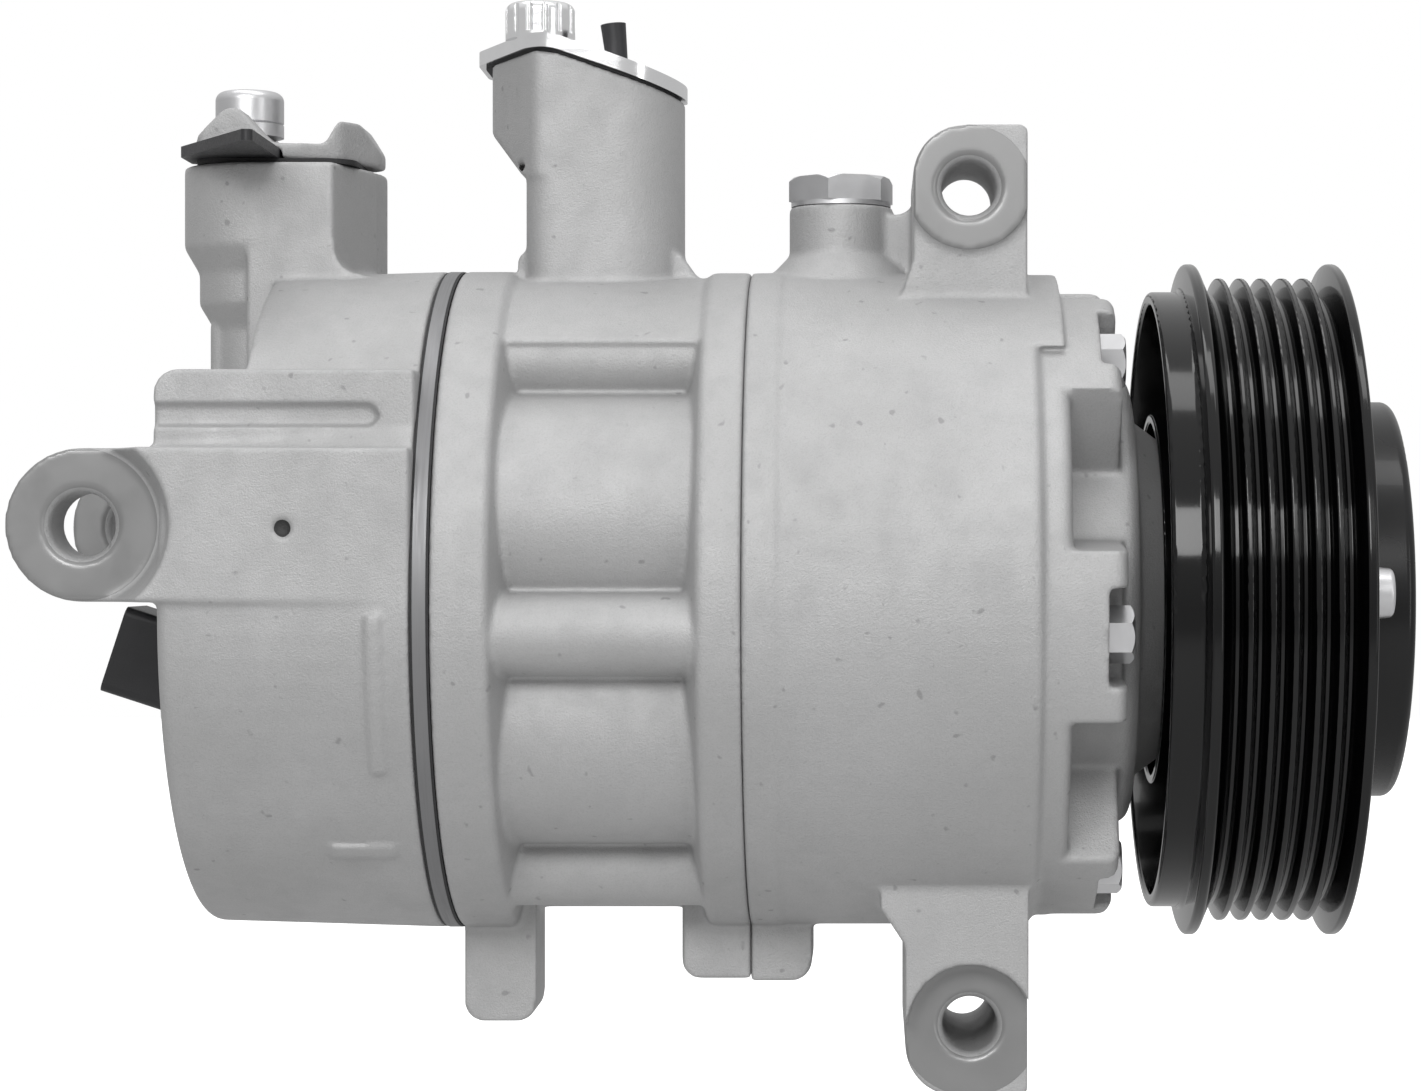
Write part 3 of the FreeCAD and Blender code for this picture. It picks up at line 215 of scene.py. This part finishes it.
def cast_aluminium(name):
    """Cast skin with clouds, patches, scuffs, pores and grain, flat milled seats on the lugs, and painted
    shade on the floor of a pit in the rear head.
    """
    mat, shader = new_material(name)
    where = object_coords(mat)
    clouds = noise(mat, where, scale=38, detail=4)
    patches = noise(mat, where, scale=150)
    scuffs = noise(mat, where, scale=520, detail=1, rough=0.3)
    pores = noise(mat, where, scale=1500, detail=2, rough=0.5)
    grain = noise(mat, where, scale=3600, rough=0.65)

    tone = two_tone(mat, clouds, scaled(CAST_GREY, 0.93), scaled(CAST_GREY, 1.06, blue=1.005))
    marks = [
        # where, its greatest weight, the span over which it comes in, its colour
        (patches, 0.25, (0.45, 0.75), scaled(CAST_GREY, 0.82, blue=1.01)),
        (grain, 0.40, (0.45, 0.80), scaled(CAST_GREY, 0.66)),
        (scuffs, 0.50, (0.74, 0.80), scaled(CAST_GREY, 0.45)),
    ]
    for fac, weight, span, colour in marks:
        tone = mixed(mat, spread(mat, fac, 0.0, weight, span), tone, colour)
    milled = 0.0
    for lug in SEAT_RADIUS_MM:
        milled = math_node(mat, "MAXIMUM", milled, disc_mask(mat, *lug_seat(lug)))
    tone = mixed(mat, milled, tone, scaled(CAST_GREY, 0.6))
    # painted shade: the floor of the pit in the rear head is coloured near black
    tone = mixed(mat, disc_mask(mat, *PIT_SHADE_MM), tone, PIT_SHADE_GREY)
    feed(mat, shader.inputs["Base Color"], tone)

    cast_rough = spread(mat, patches, 0.50, 0.64)
    polish = math_node(mat, "MULTIPLY", milled, 0.2)
    feed(mat, shader.inputs["Roughness"], math_node(mat, "SUBTRACT", cast_rough, polish))
    shader.inputs["Metallic"].default_value = 0.52
    cast = math_node(mat, "SUBTRACT", 1.0, milled)
    bump(mat, shader,
         (math_node(mat, "MULTIPLY", grain, cast), 0.70, 0.14 * MM),
         (math_node(mat, "MULTIPLY", pores, cast), 0.25, 0.20 * MM))


def smooth_metal(name, colour, rough, marks_along=(200, 200, 200), metallic=1.0, depth=0.06):
    """Machined or plated metal; marks_along is about how many tool marks a metre has along X, Y and Z."""
    mat, shader = new_material(name)
    marks = noise(mat, object_coords(mat, marks_along), scale=1.0, detail=4, rough=0.6)
    clouds = noise(mat, object_coords(mat), scale=60)
    feed(mat, shader.inputs["Base Color"], two_tone(mat, clouds, scaled(colour, 0.92), colour))
    feed(mat, shader.inputs["Roughness"], spread(mat, marks, rough * 0.8, rough * 1.25))
    shader.inputs["Metallic"].default_value = metallic
    bump(mat, shader, (marks, depth, 0.1 * MM))


def painted(name, colour, rough, coat):
    """Dip-coated steel: an even dark film with slight orange peel and dust."""
    mat, shader = new_material(name)
    where = object_coords(mat)
    clouds = noise(mat, where, scale=45)
    peel = noise(mat, where, scale=420, detail=2)
    dust = noise(mat, where, scale=1700, detail=2)
    tone = two_tone(mat, clouds, scaled(colour, 0.85), scaled(colour, 1.2))
    tone = mixed(mat, spread(mat, dust, 0.0, 0.004, (0.62, 0.80)), tone, (0.12, 0.12, 0.12))
    feed(mat, shader.inputs["Base Color"], tone)
    feed(mat, shader.inputs["Roughness"], spread(mat, clouds, rough * 0.8, rough * 1.3))
    shader.inputs["Specular IOR Level"].default_value = 0.3
    shader.inputs["Coat Weight"].default_value = coat
    shader.inputs["Coat Roughness"].default_value = 0.05
    bump(mat, shader, (peel, 0.04, 0.2 * MM))


def moulded(name, colour, rough):
    """Plastic or rubber with a fine moulded grain."""
    mat, shader = new_material(name)
    where = object_coords(mat)
    clouds = noise(mat, where, scale=90)
    grain = noise(mat, where, scale=2600)
    tone = two_tone(mat, clouds, scaled(colour, 0.8), scaled(colour, 1.25))
    feed(mat, shader.inputs["Base Color"], tone)
    feed(mat, shader.inputs["Roughness"], spread(mat, grain, rough * 0.85, rough * 1.2))
    bump(mat, shader, (grain, 0.25, 0.08 * MM))


cast_aluminium("cast_aluminium")

painted("pulley_paint", (0.0012, 0.0012, 0.0014), 0.12, coat=0.25)
painted("hub_paint", (0.006, 0.006, 0.0065), 0.26, coat=0.15)

moulded("gasket_rubber", (0.02, 0.02, 0.021), 0.7)
moulded("damper_rubber", (0.014, 0.014, 0.014), 0.75)
moulded("seal_rubber", (0.05, 0.02, 0.012), 0.6)
moulded("black_plastic", (0.018, 0.018, 0.02), 0.42)
moulded("cage_nylon", (0.55, 0.48, 0.33), 0.5)

smooth_metal("plate_steel", (0.24, 0.24, 0.245), 0.5, (2500, 90, 90), metallic=0.7)
smooth_metal("chrome_plate", (0.94, 0.94, 0.95), 0.16, (60, 60, 900), depth=0.02)
smooth_metal("zinc_steel", (0.68, 0.68, 0.69), 0.36, (300, 300, 300))
smooth_metal("bearing_steel", (0.60, 0.60, 0.62), 0.22, (1800, 80, 80))
smooth_metal("piston_alloy", (0.62, 0.62, 0.63), 0.35, (1500, 90, 90))
smooth_metal("valve_steel", (0.55, 0.55, 0.57), 0.3, (1500, 90, 90))
smooth_metal("plate_iron", (0.22, 0.22, 0.225), 0.42)
smooth_metal("shoe_steel", (0.66, 0.66, 0.68), 0.15)
smooth_metal("pin_brass", (0.72, 0.55, 0.25), 0.3)


def dress(obj, slot):
    obj.data.materials.clear()
    obj.data.materials.append(MATERIALS[slot])


for node_name, node_object in NODES.items():
    dress(node_object, SLOT_OF[node_name])


# ------------------------------------------------------------------ soft-edged castings
# Nodes that share one skin stand in one row.
CASTINGS = [("front_housing",), ("cylinder_block", "muffler_tower"), ("rear_head",), ("port_clamp",)]
WELD = 0.002 * MM
VOXEL = 0.5 * MM
SMOOTH_ROUNDS = 5


def welded_copy(nodes, name):
    """One object with the meshes of some CAD nodes, their split edges joined."""
    work = bmesh.new()
    for node in nodes:
        work.from_mesh(NODES[node].data)
    bmesh.ops.remove_doubles(work, verts=work.verts, dist=WELD)
    mesh = bpy.data.meshes.new(name)
    work.to_mesh(mesh)
    work.free()
    return put_in_scene(name, mesh)


def apply_modifiers(obj):
    graph = bpy.context.evaluated_depsgraph_get()
    mesh = bpy.data.meshes.new_from_object(obj.evaluated_get(graph))
    obj.modifiers.clear()
    obj.data = mesh


def soft_casting(nodes, body):
    """Casting with every edge eased, standing for its CAD nodes."""
    obj = welded_copy(nodes, nodes[0] + "_cast")
    remesh = obj.modifiers.new("remesh", "REMESH")
    remesh.mode = "VOXEL"
    remesh.voxel_size = VOXEL
    smooth = obj.modifiers.new("smooth", "SMOOTH")
    smooth.factor = 0.5
    smooth.iterations = SMOOTH_ROUNDS
    apply_modifiers(obj)
    obj.data.shade_smooth()
    dress(obj, SLOT_OF[nodes[0]])
    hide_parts(*nodes)
    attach(obj, body)


for casting in CASTINGS:
    soft_casting(casting, "housing")


# ------------------------------------------------------------------ floor and world
# Both are plain white to the camera, and light the object as a floor and a sky would.
FLOOR_Z = -0.30
FLOOR_HALF = 6.0
FLOOR_GREY = (0.55, 0.55, 0.55)
SKY_SPAN = (-0.6, 0.9)  # from the Z of a downward ray to that of an upward one
SKY_DIM, SKY_BRIGHT = 0.19, 0.86
WHITE = (1.0, 1.0, 1.0)

corners = [(-1, -1), (1, -1), (1, 1), (-1, 1)]
floor_mesh = bpy.data.meshes.new("floor")
floor_mesh.from_pydata([(x * FLOOR_HALF, y * FLOOR_HALF, 0) for x, y in corners], [], [(0, 1, 2, 3)])
floor = put_in_scene("floor", floor_mesh)
floor.location = (0, 0, FLOOR_Z)
floor_mat, floor_shader = new_material("floor")
floor_shader.inputs["Roughness"].default_value = 0.9
feed(floor_mat, floor_shader.inputs["Base Color"], FLOOR_GREY)
feed(floor_mat, floor_shader.inputs["Emission Color"], WHITE)
floor_rays = add(floor_mat, "ShaderNodeLightPath")
feed(floor_mat, floor_shader.inputs["Emission Strength"], floor_rays.outputs["Is Camera Ray"])
floor_mesh.materials.append(floor_mat)

world = bpy.data.worlds.new("world")
bpy.context.scene.world = world
world.use_nodes = True
background = world.node_tree.nodes["Background"]
ray_axes = add(world, "ShaderNodeSeparateXYZ")
feed(world, ray_axes.inputs[0], add(world, "ShaderNodeTexCoord").outputs["Generated"])
sky = spread(world, ray_axes.outputs["Z"], SKY_DIM, SKY_BRIGHT, SKY_SPAN)
to_camera = add(world, "ShaderNodeLightPath").outputs["Is Camera Ray"]
feed(world, background.inputs["Color"], WHITE)
feed(world, background.inputs["Strength"], math_node(world, "MAXIMUM", sky, to_camera))


# ------------------------------------------------------------------ lights
def area_light(name, at, look_at, size, power):
    """Rectangular soft light; size is its two sides."""
    data = bpy.data.lights.new(name, "AREA")
    data.energy = power
    data.shape = "RECTANGLE"
    data.size, data.size_y = size
    obj = put_in_scene(name, data)
    obj.location = at
    obj.rotation_euler = (Vector(look_at) - Vector(at)).to_track_quat("-Z", "Y").to_euler()


area_light("key", at=(-0.25, -1.15, 0.55), look_at=(-0.08, 0, 0), size=(0.8, 0.4), power=7.4)
area_light("fill", at=(0.65, -0.7, 0.1), look_at=(-0.02, 0, 0), size=(0.12, 0.7), power=0.8)
area_light("top", at=(-0.1, -0.05, 0.9), look_at=(-0.07, 0, 0), size=(1.0, 0.25), power=2.5)
bpy.context.scene.view_settings.view_transform = "Standard"
